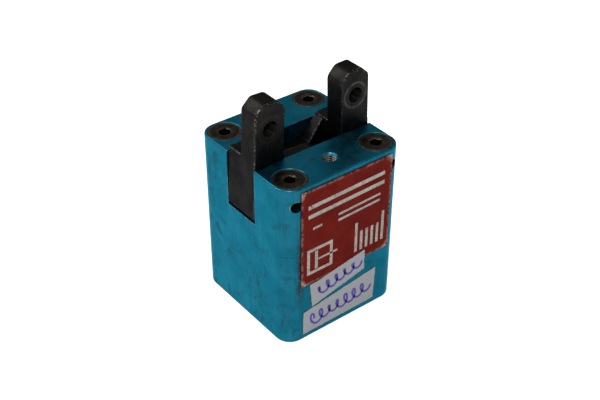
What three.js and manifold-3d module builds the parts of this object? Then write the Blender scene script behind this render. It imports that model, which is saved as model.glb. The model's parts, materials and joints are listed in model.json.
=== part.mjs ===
// Pneumatic angular gripper with two swinging jaws.
// Millimetres, +Z up. The origin is the centre of the base face, the name
// plate faces -Y and the jaws stand in a slot that runs along X.
//
// A double-acting piston in the lower block lifts a crosshead. The cross pin
// in the crosshead works in a slot in the arm of each jaw, so that both jaws
// swing about their pivot pins and the fingers open outward.

import * as THREE from 'three';
import { mergeVertices } from 'three/addons/utils/BufferGeometryUtils.js';
import Module from 'manifold-3d';

const wasm = await Module();
wasm.setup();

// ---------------------------------------------------------------- sizes

// The two blocks meet at the split, each held back from it by the seam.
const BODY = { side: 50, top: 65, split: 38, seam: 0.05, cornerRadius: 6, bevel: 0.4 };
const HALF = BODY.side / 2;

const SLOT = { halfWidth: 7.65, floor: 43.5 };

const JAW = {
  width: 12,
  halfThickness: 7.35,
  outer: -4.12,
  bottom: -13.7,
  shoulder: 8.8,
  top: 29.5,
  chamfer: 3.3,
  undercut: { height: 2.6, depth: 3.4 },
  fingerBack: 0.6,
  holeHeight: 19.9,
};

// How far each closed jaw leans in from upright.
const LEAN = { left: THREE.MathUtils.degToRad(2.3), right: THREE.MathUtils.degToRad(1.6) };

const PIVOT = { x: 20.4, z: 58.2, radius: 2, halfLength: 15, play: 0.04 };

// The arms reach past the cross pin by the tip and have a rounded low corner.
const ARM = { inner: 2.9, low: -8.5, tip: 4.6, lowCorner: 3, heel: 6 };
const LEVEL_ARM = { top: 6.5, corner: 6 };
const SLOPING_ARM = { top: 0.6, corner: 4, shoulder: 8.1, slopeEnd: 13.9 };
const DRIVE = { radius: 2.5, z: 53.5, halfLength: 7.2, stroke: 8, slotPlay: 0.15 };

const BORE = { radius: 16, floor: 6 };
const HEAD = { radius: 18, bottom: 34, play: 0.05 };
const DOWEL = { x: 21.8, radius: 1.98, hole: 2.03, bottom: 34, top: 42, endPlay: 0.2 };
const BUSH = { radius: 7, bottom: 38.35, top: 43.3 };
const PISTON = {
  radius: 15.95,
  bottom: 10,
  top: 20,
  grooveLow: 13.5,
  grooveHigh: 16.5,
  grooveRadius: 12.9,
  sealPlay: 0.03,
  lowerBoss: { radius: 8, bottom: 7.2 },
  upperBoss: { radius: 10, top: 24 },
};
const PISTON_SCREW = {
  radius: 2.5,
  headRadius: 4.25,
  headBottom: 7.6,
  headTop: 12.6,
  headPlay: 0.15,
  tip: 27,
  socket: 4,
  socketDepth: 2.5,
};
const ROD = { radius: 5, bottom: 17.05, top: 45.6, guidePlay: 0.06 };
const CROSSHEAD = { halfWidth: 5, halfThickness: 2.6, bottom: 45.9, pinPlay: 0.02 };
const STEM = { radius: 3, bottom: 38.5, endPlay: 0.5, root: 2, rootDrop: 0.3 };
const BUMPER = { lowerInner: 5, upperInner: 7.5, edge: 0.5 };

const SCREW = {
  at: 18.3,
  radius: 2.98,
  threadRadius: 3.02,
  threadBottom: 13,
  clearanceRadius: 3.2,
  countersinkRadius: 6.15,
  headRadius: 5.95,
  sunk: 0.1,
  tip: 15,
  socket: 4,
  socketDepth: 3.2,
};
const ROD_SEAL = { outer: 6.9, inner: 5.06, bottom: 34.25, top: 36.3 };
const HEAD_RING = { ringRadius: 17.15, wireRadius: 0.72, z: 36, grooveReach: 0.8 };
const M5 = { tapRadius: 2.1, chamferRadius: 2.85 };
const BASE_HOLE_DEPTH = 10;
const TOP_HOLE = { y: 16.3, depth: 12 };
const PORT = { low: 9.5, high: 30.8 };

const PLATE = { left: -18.9, right: 19.8, bottom: 24.4, top: 63, thickness: 0.4, gap: 0.05 };
const STRIP_THICKNESS = 0.25;
const UPPER_STRIP = [[-15, 23.5], [-13.9, 13.3], [9.7, 18.6], [8.9, 27.6]];
const LOWER_STRIP = [[-17.7, 12.1], [-17.9, 2.3], [14.4, 2.6], [15, 16.6]];

// Play beside a running or seated piece, and the larger play around a seal.
const SNUG = 0.05;
const LOOSE = 0.1;

// How far a cutter runs past the face that it opens.
const PAST = 1;

// Sides of a large, middling and small circle and of a round wire, and
// steps of an arc.
const FINE = 40;
const ROUND = 24;
const COARSE = 16;
const WIRE_SIDES = 8;
const ARC_STEPS = 12;
const MERGE_DISTANCE = 1e-4;

// ------------------------------------------------------------ materials

function finish(colour, roughness, metalness) {
  return new THREE.MeshStandardMaterial({ color: colour, roughness, metalness });
}

const TEAL_ANODISED = finish(0x1f6f86, 0.42, 0.7);
const BLACK_STEEL = finish(0x2b2a29, 0.48, 0.75);
const BRIGHT_STEEL = finish(0xa9abad, 0.25, 1);
const BRONZE_SCREW = finish(0x4b3a30, 0.42, 0.85);
const ALUMINIUM = finish(0xb4b7ba, 0.38, 0.9);
const BRONZE = finish(0xa77b45, 0.4, 0.9);
const RUBBER = finish(0x1b1b1c, 0.85, 0);
const RED_PLATE = finish(0x7c1f26, 0.5, 0.1);
const PAPER = finish(0xe9e7e2, 0.9, 0);

// ------------------------------------------------------- solid building

// A closed three.js geometry as a solid that can be cut and joined.
function solid(geometry) {
  const bare = geometry.clone();
  bare.deleteAttribute('normal');
  bare.deleteAttribute('uv');
  const merged = mergeVertices(bare, MERGE_DISTANCE);
  return new wasm.Manifold(new wasm.Mesh({
    numProp: 3,
    vertProperties: new Float32Array(merged.attributes.position.array),
    triVerts: new Uint32Array(merged.index.array),
  }));
}

function toGeometry(body) {
  const { vertProperties, triVerts } = body.getMesh();
  const geometry = new THREE.BufferGeometry();
  geometry.setAttribute('position', new THREE.BufferAttribute(vertProperties, 3));
  geometry.setIndex(new THREE.BufferAttribute(triVerts, 1));
  geometry.computeVertexNormals();
  return geometry;
}

function cutAway(body, cutters) {
  return cutters.reduce((rest, cutter) => rest.subtract(cutter), body);
}

function box(x0, x1, y0, y1, z0, z1) {
  const geometry = new THREE.BoxGeometry(x1 - x0, y1 - y0, z1 - z0);
  geometry.translate((x0 + x1) / 2, (y0 + y1) / 2, (z0 + z1) / 2);
  return solid(geometry);
}

// A cone or cylinder standing along Z, from radius r0 at z0 to r1 at z1.
function coneZ(x, y, r0, z0, r1, z1, sides) {
  const geometry = new THREE.CylinderGeometry(r1, r0, z1 - z0, sides);
  geometry.rotateX(Math.PI / 2);
  geometry.translate(x, y, (z0 + z1) / 2);
  return solid(geometry);
}

function discZ(x, y, radius, z0, z1, sides) {
  return coneZ(x, y, radius, z0, radius, z1, sides);
}

function ringZ(outer, inner, z0, z1, sides) {
  return discZ(0, 0, outer, z0, z1, sides).subtract(discZ(0, 0, inner, z0 - PAST, z1 + PAST, sides));
}

// A cone or cylinder lying along Y, from radius r0 at y0 to r1 at y1.
function coneY(x, z, r0, y0, r1, y1, sides) {
  const geometry = new THREE.CylinderGeometry(r1, r0, y1 - y0, sides);
  geometry.translate(x, (y0 + y1) / 2, z);
  return solid(geometry);
}

function discY(x, z, radius, y0, y1, sides) {
  return coneY(x, z, radius, y0, radius, y1, sides);
}

// A flat outline in X and Z, given thickness along Y.
function slabY(shape, y0, y1) {
  const geometry = new THREE.ExtrudeGeometry(shape, {
    depth: y1 - y0,
    bevelEnabled: false,
    curveSegments: ARC_STEPS,
  });
  geometry.rotateX(Math.PI / 2);
  geometry.translate(0, y1, 0);
  return solid(geometry);
}

function outline(points) {
  return new THREE.Shape(points.map(([x, z]) => new THREE.Vector2(x, z)));
}

// A square block with rounded corners and a fine bevel at both ends.
function roundedBlock(z0, z1) {
  const flat = HALF - BODY.cornerRadius;
  const shape = new THREE.Shape();
  shape.absarc(flat, -flat, BODY.cornerRadius, -Math.PI / 2, 0);
  shape.absarc(flat, flat, BODY.cornerRadius, 0, Math.PI / 2);
  shape.absarc(-flat, flat, BODY.cornerRadius, Math.PI / 2, Math.PI);
  shape.absarc(-flat, -flat, BODY.cornerRadius, Math.PI, 1.5 * Math.PI);
  const geometry = new THREE.ExtrudeGeometry(shape, {
    depth: z1 - z0 - 2 * BODY.bevel,
    bevelThickness: BODY.bevel,
    bevelSize: BODY.bevel,
    bevelOffset: -BODY.bevel,
    bevelSegments: 1,
    curveSegments: ARC_STEPS / 2,
  });
  geometry.translate(0, 0, z0 + BODY.bevel);
  return solid(geometry);
}

// A tapped hole with a chamfered mouth in an upward face at height z.
function tappedDown(x, y, z, depth, thread) {
  const chamfer = thread.chamferRadius - thread.tapRadius;
  return discZ(x, y, thread.tapRadius, z - depth, z + PAST, COARSE)
    .add(coneZ(x, y, thread.tapRadius, z - chamfer, thread.chamferRadius + PAST, z + PAST, COARSE));
}

// The same in a downward face, opening at the bottom.
function tappedUp(x, y, z, depth, thread) {
  const chamfer = thread.chamferRadius - thread.tapRadius;
  return discZ(x, y, thread.tapRadius, z - PAST, z + depth, COARSE)
    .add(coneZ(x, y, thread.chamferRadius + PAST, z - PAST, thread.tapRadius, z + chamfer, COARSE));
}

// A hexagon socket by its size across flats, cut upward from z0 to z1.
function hexSocket(acrossFlats, z0, z1) {
  return discZ(0, 0, acrossFlats / 2 / Math.cos(Math.PI / 6), z0, z1, 6);
}

function atCorners(make) {
  const corners = [[-1, -1], [1, -1], [-1, 1], [1, 1]];
  return corners.map(([sx, sy]) => make(sx * SCREW.at, sy * SCREW.at));
}

// ----------------------------------------------------------- the blocks

// The holes for both dowels, from z0 to z1.
function dowelHoles(z0, z1) {
  return [-1, 1].map((side) => discZ(side * DOWEL.x, 0, DOWEL.hole, z0, z1, COARSE));
}

// Lower block: cylinder bore, head recess, screw threads and air ports.
function cylinderBody() {
  const port = (z) => {
    const chamfer = M5.chamferRadius - M5.tapRadius;
    return discY(0, z, M5.tapRadius, BORE.radius - 2 * PAST, HALF + PAST, COARSE)
      .add(coneY(0, z, M5.tapRadius, HALF - chamfer, M5.chamferRadius + PAST, HALF + PAST, COARSE));
  };
  const above = BODY.split + PAST;
  return cutAway(roundedBlock(0, BODY.split - BODY.seam), [
    discZ(0, 0, BORE.radius, BORE.floor, above, FINE),
    discZ(0, 0, HEAD.radius, HEAD.bottom, above, FINE),
    ...atCorners((x, y) => discZ(x, y, SCREW.threadRadius, SCREW.threadBottom, above, COARSE)),
    ...atCorners((x, y) => tappedUp(x, y, 0, BASE_HOLE_DEPTH, M5)),
    ...dowelHoles(DOWEL.bottom - DOWEL.endPlay, above),
    port(PORT.low),
    port(PORT.high),
  ]);
}

// Upper block: jaw slot, pivot holes, rod bore and countersunk screw holes.
function jawHousing() {
  const countersinkDepth = SCREW.countersinkRadius - SCREW.clearanceRadius;
  const pivotHole = PIVOT.radius + PIVOT.play;
  const side = HALF + PAST;
  const below = BODY.split - PAST;
  const above = BODY.top + PAST;
  return cutAway(roundedBlock(BODY.split + BODY.seam, BODY.top), [
    box(-side, side, -SLOT.halfWidth, SLOT.halfWidth, SLOT.floor, above),
    discZ(0, 0, BUSH.radius + SNUG, below, SLOT.floor + PAST, ROUND),
    ...[-1, 1].map((s) => discY(s * PIVOT.x, PIVOT.z, pivotHole, -side, side, ROUND)),
    ...dowelHoles(below, DOWEL.top + DOWEL.endPlay),
    ...[-1, 1].map((s) => tappedDown(0, s * TOP_HOLE.y, BODY.top, TOP_HOLE.depth, M5)),
    ...atCorners((x, y) => discZ(x, y, SCREW.clearanceRadius, below, above, COARSE)),
    ...atCorners((x, y) => coneZ(
      x, y,
      SCREW.clearanceRadius, BODY.top - countersinkDepth,
      SCREW.countersinkRadius + PAST, above,
      ROUND,
    )),
  ]);
}

// Countersunk hexagon-socket screw, head up, on its own axis.
function capScrew() {
  const headTop = BODY.top - SCREW.sunk;
  const neck = headTop - (SCREW.headRadius - SCREW.radius);
  return discZ(0, 0, SCREW.radius, SCREW.tip, neck + SNUG, COARSE)
    .add(coneZ(0, 0, SCREW.radius, neck, SCREW.headRadius, headTop, ROUND))
    .subtract(hexSocket(SCREW.socket, headTop - SCREW.socketDepth, headTop + PAST));
}

function dowel() {
  return discZ(0, 0, DOWEL.radius, DOWEL.bottom, DOWEL.top, COARSE);
}

// --------------------------------------------------------- the cylinder

// Flange that closes the bore under the upper block and guides the rod.
function cylinderHead() {
  const flange = HEAD.radius - HEAD.play;
  const reach = HEAD_RING.grooveReach;
  const below = HEAD.bottom - PAST;
  return cutAway(discZ(0, 0, flange, HEAD.bottom + SNUG, BODY.split - BODY.seam, FINE), [
    discZ(0, 0, ROD.radius + ROD.guidePlay, below, BODY.split + PAST, ROUND),
    discZ(0, 0, ROD_SEAL.outer + LOOSE, below, ROD_SEAL.top + LOOSE, ROUND),
    ringZ(flange + PAST, HEAD_RING.ringRadius - reach, HEAD_RING.z - reach, HEAD_RING.z + reach, FINE),
  ]);
}

function headRing() {
  return solid(new THREE.TorusGeometry(HEAD_RING.ringRadius, HEAD_RING.wireRadius, WIRE_SIDES, FINE))
    .translate([0, 0, HEAD_RING.z]);
}

function rodSeal() {
  return ringZ(ROD_SEAL.outer, ROD_SEAL.inner, ROD_SEAL.bottom, ROD_SEAL.top, ROUND);
}

function rodBush() {
  return ringZ(BUSH.radius, ROD.radius + SNUG, BUSH.bottom, BUSH.top, ROUND);
}

// Disc with a boss on each side, a seal groove and a stepped centre hole.
function piston() {
  const { lowerBoss, upperBoss } = PISTON;
  const above = upperBoss.top + PAST;
  const disc = discZ(0, 0, PISTON.radius, PISTON.bottom, PISTON.top, FINE)
    .add(discZ(0, 0, lowerBoss.radius, lowerBoss.bottom, PISTON.bottom + PAST, ROUND))
    .add(discZ(0, 0, upperBoss.radius, PISTON.top - PAST, upperBoss.top, ROUND));
  return cutAway(disc, [
    ringZ(PISTON.radius + PAST, PISTON.grooveRadius, PISTON.grooveLow, PISTON.grooveHigh, FINE),
    discZ(0, 0, PISTON_SCREW.headRadius + PISTON_SCREW.headPlay, 0, PISTON_SCREW.headTop + LOOSE, ROUND),
    discZ(0, 0, PISTON_SCREW.radius + LOOSE, 0, above, ROUND),
    discZ(0, 0, ROD.radius + SNUG, ROD.bottom - SNUG, above, ROUND),
  ]);
}

function pistonSeal() {
  return ringZ(
    BORE.radius - PISTON.sealPlay,
    PISTON.grooveRadius + LOOSE,
    PISTON.grooveLow + LOOSE,
    PISTON.grooveHigh - LOOSE,
    FINE,
  );
}

function pistonScrew() {
  const { radius, headRadius, headBottom, headTop, tip, socket, socketDepth } = PISTON_SCREW;
  return discZ(0, 0, headRadius, headBottom, headTop, COARSE)
    .add(discZ(0, 0, radius, headTop - PAST, tip, COARSE))
    .subtract(hexSocket(socket, 0, headBottom + socketDepth));
}

function pistonRod() {
  return cutAway(discZ(0, 0, ROD.radius, ROD.bottom, ROD.top, ROUND), [
    discZ(0, 0, PISTON_SCREW.radius + SNUG, 0, PISTON_SCREW.tip + PAST, COARSE),
    discZ(0, 0, STEM.radius + SNUG, STEM.bottom - STEM.endPlay, ROD.top + PAST, COARSE),
  ]);
}

// Flat head with an arched top that carries the cross pin between the arms.
function crosshead() {
  const arch = new THREE.Shape();
  arch.moveTo(-CROSSHEAD.halfWidth, CROSSHEAD.bottom);
  arch.lineTo(CROSSHEAD.halfWidth, CROSSHEAD.bottom);
  arch.absarc(0, DRIVE.z, CROSSHEAD.halfWidth, 0, Math.PI);
  const t = CROSSHEAD.halfThickness;
  const withinHead = box(-HALF, HALF, -t, t, CROSSHEAD.bottom - STEM.rootDrop, BODY.top);
  const belowHead = box(-HALF, HALF, -HALF, HALF, 0, CROSSHEAD.bottom);
  const stem = discZ(0, 0, STEM.radius, STEM.bottom, CROSSHEAD.bottom + STEM.root, COARSE)
    .intersect(withinHead.add(belowHead));
  return slabY(arch, -t, t)
    .add(stem)
    .subtract(discY(0, DRIVE.z, DRIVE.radius + CROSSHEAD.pinPlay, -HALF, HALF, ROUND));
}

function drivePin() {
  return discY(0, DRIVE.z, DRIVE.radius, -DRIVE.halfLength, DRIVE.halfLength, ROUND);
}

function lowerBumper() {
  const { radius, bottom } = PISTON.lowerBoss;
  return ringZ(radius - BUMPER.edge, BUMPER.lowerInner, BORE.floor + SNUG, bottom - LOOSE, ROUND);
}

function upperBumper() {
  const { radius, top } = PISTON.upperBoss;
  return ringZ(radius, BUMPER.upperInner, top + DRIVE.stroke + LOOSE, HEAD.bottom, ROUND);
}

// -------------------------------------------------------------- the jaws
// Each jaw is drawn upright with its pivot at the origin. u runs from the
// pivot towards the middle of the gripper, so the left jaw has x = u.

const JAW_INNER = JAW.outer + JAW.width;
const ARM_END = PIVOT.x + ARM.tip;

// Slot for the cross pin: it allows for the pin's change of distance.
function driveSlot(lean) {
  const drop = DRIVE.z - PIVOT.z;
  const far = Math.hypot(PIVOT.x, drop) + DRIVE.slotPlay;
  const near = PIVOT.x - DRIVE.slotPlay;
  const radius = DRIVE.radius + DRIVE.slotPlay;
  const angle = Math.atan2(drop, PIVOT.x) + lean;
  const slot = new THREE.Shape();
  slot.absarc(far, 0, radius, -Math.PI / 2, Math.PI / 2);
  slot.absarc(near, 0, radius, Math.PI / 2, 1.5 * Math.PI);
  const turned = slot.getPoints(ARC_STEPS).map((p) => p.rotateAround(new THREE.Vector2(), angle));
  return slabY(new THREE.Shape(turned), -HALF, HALF);
}

// The lower edge that both arms share, round to the front of the tip.
function armUnderside() {
  const corner = ARM.lowCorner;
  const shape = new THREE.Shape();
  shape.moveTo(0, ARM.low + corner);
  shape.lineTo(ARM.heel, ARM.low);
  shape.lineTo(ARM_END - corner, ARM.low);
  shape.absarc(ARM_END - corner, ARM.low + corner, corner, -Math.PI / 2, 0);
  return shape;
}

// The left jaw's arm: a deep bar with a level top and a rounded end.
function levelArm() {
  const { top, corner } = LEVEL_ARM;
  const shape = armUnderside();
  shape.absarc(ARM_END - corner, top - corner, corner, 0, Math.PI / 2);
  shape.lineTo(0, top);
  return shape;
}

// The right jaw's arm: it slopes down from the shoulder to the cross pin.
function slopingArm() {
  const { top, corner, shoulder, slopeEnd } = SLOPING_ARM;
  const shape = armUnderside();
  shape.absarc(ARM_END - corner, top - corner, corner, 0, Math.PI / 2);
  shape.lineTo(slopeEnd, top);
  shape.lineTo(JAW_INNER, shoulder);
  shape.lineTo(0, shoulder);
  return shape;
}

// A jaw for x = u: block, a finger about half as thick, one arm and the holes.
function jaw(armShape, armY0, armY1, lean) {
  const t = JAW.halfThickness;
  const cut = JAW.undercut;
  const block = outline([
    [JAW.outer, JAW.bottom],
    [JAW_INNER - cut.depth, JAW.bottom],
    [JAW_INNER - cut.depth, cut.height - cut.depth],
    [JAW_INNER, cut.height],
    [JAW_INNER, JAW.shoulder],
    [JAW.outer, JAW.shoulder],
  ]);
  const finger = outline([
    [JAW.outer, 0],
    [JAW_INNER - cut.depth, 0],
    [JAW_INNER, cut.height],
    [JAW_INNER, JAW.top - JAW.chamfer],
    [JAW_INNER - JAW.chamfer, JAW.top],
    [JAW.outer + JAW.chamfer, JAW.top],
    [JAW.outer, JAW.top - JAW.chamfer],
  ]);
  const holeX = JAW.outer + JAW.width / 2;
  const chamfer = M5.chamferRadius - M5.tapRadius;
  const body = slabY(block, -t, t)
    .add(slabY(finger, -t, JAW.fingerBack))
    .add(slabY(armShape, armY0, armY1));
  return cutAway(body, [
    driveSlot(lean),
    discY(0, 0, PIVOT.radius + PIVOT.play, -HALF, HALF, ROUND),
    discY(holeX, JAW.holeHeight, M5.tapRadius, -HALF, HALF, COARSE),
    coneY(holeX, JAW.holeHeight, M5.chamferRadius + PAST, -t - PAST, M5.tapRadius, -t + chamfer, COARSE),
  ]);
}

function leftJaw() {
  return jaw(levelArm(), -JAW.halfThickness, -ARM.inner, LEAN.left);
}

function rightJaw() {
  return jaw(slopingArm(), ARM.inner, JAW.halfThickness, LEAN.right).mirror([1, 0, 0]);
}

function pivotPin() {
  return discY(0, 0, PIVOT.radius, -PIVOT.halfLength, PIVOT.halfLength, ROUND);
}

// --------------------------------------------- name plate and paper strips

function namePlate() {
  const back = -HALF - PLATE.gap;
  return box(PLATE.left, PLATE.right, back - PLATE.thickness, back, PLATE.bottom, PLATE.top);
}

function paperStrip(corners) {
  const back = -HALF - 2 * PLATE.gap - PLATE.thickness;
  return slabY(outline(corners), back - STRIP_THICKNESS, back);
}

// ------------------------------------------------------------- assembly

const gripper = new THREE.Group();

function place(name, body, material, parent = gripper) {
  const mesh = new THREE.Mesh(toGeometry(body), material);
  mesh.name = name;
  parent.add(mesh);
  return mesh;
}

place('cylinder_body', cylinderBody(), TEAL_ANODISED);
place('jaw_housing', jawHousing(), TEAL_ANODISED);
place('cylinder_head', cylinderHead(), ALUMINIUM);
place('head_ring', headRing(), RUBBER);
place('rod_seal', rodSeal(), RUBBER);
place('rod_bush', rodBush(), BRONZE);
place('lower_bumper', lowerBumper(), RUBBER);
place('upper_bumper', upperBumper(), RUBBER);

place('piston', piston(), ALUMINIUM);
place('piston_seal', pistonSeal(), RUBBER);
place('piston_screw', pistonScrew(), BRONZE_SCREW);
place('piston_rod', pistonRod(), BRIGHT_STEEL);
place('crosshead', crosshead(), BLACK_STEEL);
place('drive_pin', drivePin(), BRIGHT_STEEL);

for (const [side, sign, makeJaw] of [['left', -1, leftJaw], ['right', 1, rightJaw]]) {
  const pivot = new THREE.Group();
  pivot.position.set(sign * PIVOT.x, 0, PIVOT.z);
  gripper.add(pivot);
  place(`jaw_${side}`, makeJaw(), BLACK_STEEL, pivot).rotation.y = -sign * LEAN[side];
  place(`pivot_pin_${side}`, pivotPin(), BRIGHT_STEEL, pivot);
  place(`dowel_${side}`, dowel(), BRIGHT_STEEL).position.x = sign * DOWEL.x;
  for (const [row, rowSign] of [['front', -1], ['back', 1]]) {
    const screw = place(`screw_${row}_${side}`, capScrew(), BRONZE_SCREW);
    screw.position.set(sign * SCREW.at, rowSign * SCREW.at, 0);
  }
}

place('name_plate', namePlate(), RED_PLATE);
place('strip_upper', paperStrip(UPPER_STRIP), PAPER);
place('strip_lower', paperStrip(LOWER_STRIP), PAPER);

export default gripper;
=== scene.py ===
# The pneumatic angular gripper in Blender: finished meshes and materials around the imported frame.
#
# The frame is in metres. Sizes in this script are in millimetres and pass through MM when a mesh
# is made. Every visible piece stands for a CAD node of the same outline and rides on its body.

import json
import math
import random

import bmesh
import bpy
from mathutils import Matrix, Vector


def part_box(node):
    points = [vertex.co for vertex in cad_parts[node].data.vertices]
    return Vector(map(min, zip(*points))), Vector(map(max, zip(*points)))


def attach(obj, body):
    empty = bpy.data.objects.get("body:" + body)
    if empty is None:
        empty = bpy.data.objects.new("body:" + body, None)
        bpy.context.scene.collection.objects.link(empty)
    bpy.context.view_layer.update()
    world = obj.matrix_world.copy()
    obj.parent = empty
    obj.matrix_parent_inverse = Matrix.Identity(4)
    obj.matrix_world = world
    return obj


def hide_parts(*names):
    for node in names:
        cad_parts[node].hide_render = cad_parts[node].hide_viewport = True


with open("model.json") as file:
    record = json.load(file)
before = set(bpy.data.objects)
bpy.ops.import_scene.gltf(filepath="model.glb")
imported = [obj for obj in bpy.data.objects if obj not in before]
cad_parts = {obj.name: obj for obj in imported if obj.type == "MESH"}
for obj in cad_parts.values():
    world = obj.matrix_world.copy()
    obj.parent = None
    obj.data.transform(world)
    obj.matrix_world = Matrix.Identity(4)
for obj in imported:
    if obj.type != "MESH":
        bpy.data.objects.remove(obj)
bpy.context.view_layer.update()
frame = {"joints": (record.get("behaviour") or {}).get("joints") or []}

MM = 0.001
SIDES = 96


def box_mm(node):
    """The lowest and highest corner of a CAD node, in millimetres."""
    low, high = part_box(node)
    return low / MM, high / MM


# ---------------------------------------------------------------- sizes from the frame

BODY_LOW, BODY_HIGH = box_mm("cylinder_body")
HOUSING_LOW, HOUSING_HIGH = box_mm("jaw_housing")
HALF = HOUSING_HIGH.x
TOP = HOUSING_HIGH.z
SPLIT = (BODY_HIGH.z + HOUSING_LOW.z) / 2
CORNER_RADIUS = 6
RIM_BEVEL = 0.65
MATING_BEVEL = 0.05
MATING_GAP = 0.01

SLOT_HALF = 7.65
SLOT_FLOOR = 43.5

PIVOTS = {joint["name"]: Vector(joint["pos_m"]) / MM for joint in frame["joints"] if "pos_m" in joint}
PIVOT_X = PIVOTS["right_jaw_swing"].x
PIVOT_Z = PIVOTS["right_jaw_swing"].z
PIVOT_RADIUS = 2
PIVOT_HALF_LENGTH = box_mm("pivot_pin_left")[1].y

DRIVE_LOW, DRIVE_HIGH = box_mm("drive_pin")
DRIVE_Z = (DRIVE_LOW.z + DRIVE_HIGH.z) / 2
DRIVE_RADIUS = 2.5

SCREW_AT = 18.3
SCREW_HEAD, SCREW_SHANK = 5.95, 2.98
SCREW_TIP = 15
SCREW_SUNK = 0.1
SOCKET_WIDTH, SOCKET_DEPTH = 4, 3.2
ROD_RADIUS = 5

# Play round a pivot pin, the cross pin in the crosshead, and the cross pin in a jaw's slot.
PIVOT_PLAY = 0.04
CROSSHEAD_PLAY = 0.02
SLOT_PLAY = 0.15

# All tapped holes take an M5 thread.
THREAD_RADIUS = 2.5
THREAD_PITCH = 0.8
THREAD_DEPTH = 0.54 * THREAD_PITCH
ROWS_PER_TURN = 4
THREAD_SIDES = 48
DRILL_SIDES = 64

# How far a cutter runs past the face that it opens.
PAST = 1
FAR = 5


# ------------------------------------------------------------------------- mesh helpers

def add_object(name, mesh):
    piece = bpy.data.objects.new(name, mesh)
    bpy.context.scene.collection.objects.link(piece)
    return piece


def from_bmesh(name, bm):
    bmesh.ops.remove_doubles(bm, verts=bm.verts, dist=1e-7)
    bmesh.ops.recalc_face_normals(bm, faces=bm.faces)
    mesh = bpy.data.meshes.new(name)
    bm.to_mesh(mesh)
    bm.free()
    return add_object(name, mesh)


def smooth(piece, degrees=32):
    """Smooth shading that keeps the hard edges, with flat faces shaded flat."""
    piece.data.shade_smooth()
    piece.data.set_sharp_from_angle(angle=math.radians(degrees))
    weighted = piece.modifiers.new("flat faces stay flat", "WEIGHTED_NORMAL")
    weighted.keep_sharp = True
    weighted.weight = 100
    return piece


def fillet(points, steps=4):
    """A closed outline from (x, y, radius) corners, each rounded by an arc of that radius."""
    outline = []
    count = len(points)
    for i, (x, y, radius) in enumerate(points):
        here = Vector((x, y))
        before = Vector(points[i - 1][:2])
        after = Vector(points[(i + 1) % count][:2])
        if radius <= 0:
            outline.append(here)
            continue
        to_before = (before - here).normalized()
        to_after = (after - here).normalized()
        half = to_before.angle(to_after) / 2
        reach = radius / math.tan(half)
        centre = here + (to_before + to_after).normalized() * (radius / math.sin(half))
        start = here + to_before * reach - centre
        end = here + to_after * reach - centre
        turn = start.angle_signed(end)
        for k in range(steps + 1):
            a = -turn * k / steps
            spun = Vector((
                start.x * math.cos(a) - start.y * math.sin(a),
                start.x * math.sin(a) + start.y * math.cos(a),
            ))
            outline.append(centre + spun)
    return outline


def lathe(name, profile, axis="Z", at=(0, 0, 0), sides=SIDES):
    """A profile of (radius, height) corners turned about an axis through at, in millimetres.

    A profile that starts and ends on the axis makes a solid, any other one a ring."""
    solid = profile[0][0] == 0 and profile[-1][0] == 0
    bm = bmesh.new()
    rings = []
    for radius, height in profile:
        if radius == 0:
            rings.append([bm.verts.new((0, 0, height))])
            continue
        rings.append([
            bm.verts.new((
                radius * math.cos(2 * math.pi * k / sides),
                radius * math.sin(2 * math.pi * k / sides),
                height,
            ))
            for k in range(sides)
        ])
    pairs = list(zip(rings, rings[1:]))
    if not solid:
        pairs.append((rings[-1], rings[0]))
    for low, high in pairs:
        for k in range(sides):
            n = (k + 1) % sides
            corners = [low[k % len(low)], low[n % len(low)], high[n % len(high)], high[k % len(high)]]
            corners = list(dict.fromkeys(corners))
            if len(corners) > 2:
                bm.faces.new(corners)
    turn = Matrix.Rotation(-math.pi / 2, 4, "X") if axis == "Y" else Matrix.Identity(4)
    bm.transform(Matrix.Scale(MM, 4) @ Matrix.Translation(at) @ turn)
    return from_bmesh(name, bm)


def solid_profile(points):
    """A lathe profile from the axis round outer (radius, height, rounding) corners and back to the axis."""
    rounded = fillet([(0, points[0][1], 0), *points, (0, points[-1][1], 0)])
    return [(p.x, p.y) for p in rounded]


def ring_profile(inner, outer, low, high, radius):
    corners = [(inner, low, radius), (outer, low, radius), (outer, high, radius), (inner, high, radius)]
    return [(p.x, p.y) for p in fillet(corners)]


def slab(name, outline, y_low, y_high):
    """An outline in X and Z given thickness along Y."""
    bm = bmesh.new()
    face = bm.faces.new([bm.verts.new((p.x, y_low, p.y)) for p in outline])
    grown = bmesh.ops.extrude_face_region(bm, geom=[face])
    moved = [item for item in grown["geom"] if isinstance(item, bmesh.types.BMVert)]
    bmesh.ops.translate(bm, verts=moved, vec=(0, y_high - y_low, 0))
    bm.transform(Matrix.Scale(MM, 4))
    return from_bmesh(name, bm)


def stacked(name, levels):
    """A solid skinned over closed outlines of equal length: (height, outline) from low to high."""
    bm = bmesh.new()
    loops = [[bm.verts.new((p.x, p.y, height)) for p in outline] for height, outline in levels]
    bm.faces.new(list(reversed(loops[0])))
    bm.faces.new(loops[-1])
    count = len(loops[0])
    for low, high in zip(loops, loops[1:]):
        for k in range(count):
            n = (k + 1) % count
            bm.faces.new((low[k], low[n], high[n], high[k]))
    bm.transform(Matrix.Scale(MM, 4))
    return from_bmesh(name, bm)


def bevel_edges(piece, width, degrees=50, segments=3):
    bevel = piece.modifiers.new("bevel", "BEVEL")
    bevel.width = width * MM
    bevel.segments = segments
    bevel.limit_method = "ANGLE"
    bevel.angle_limit = math.radians(degrees)
    bevel.use_clamp_overlap = False
    bake(piece)


def bake(piece):
    """Applies the modifiers."""
    evaluated = piece.evaluated_get(bpy.context.evaluated_depsgraph_get())
    mesh = bpy.data.meshes.new_from_object(evaluated)
    piece.modifiers.clear()
    old = piece.data
    piece.data = mesh
    bpy.data.meshes.remove(old)


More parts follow.
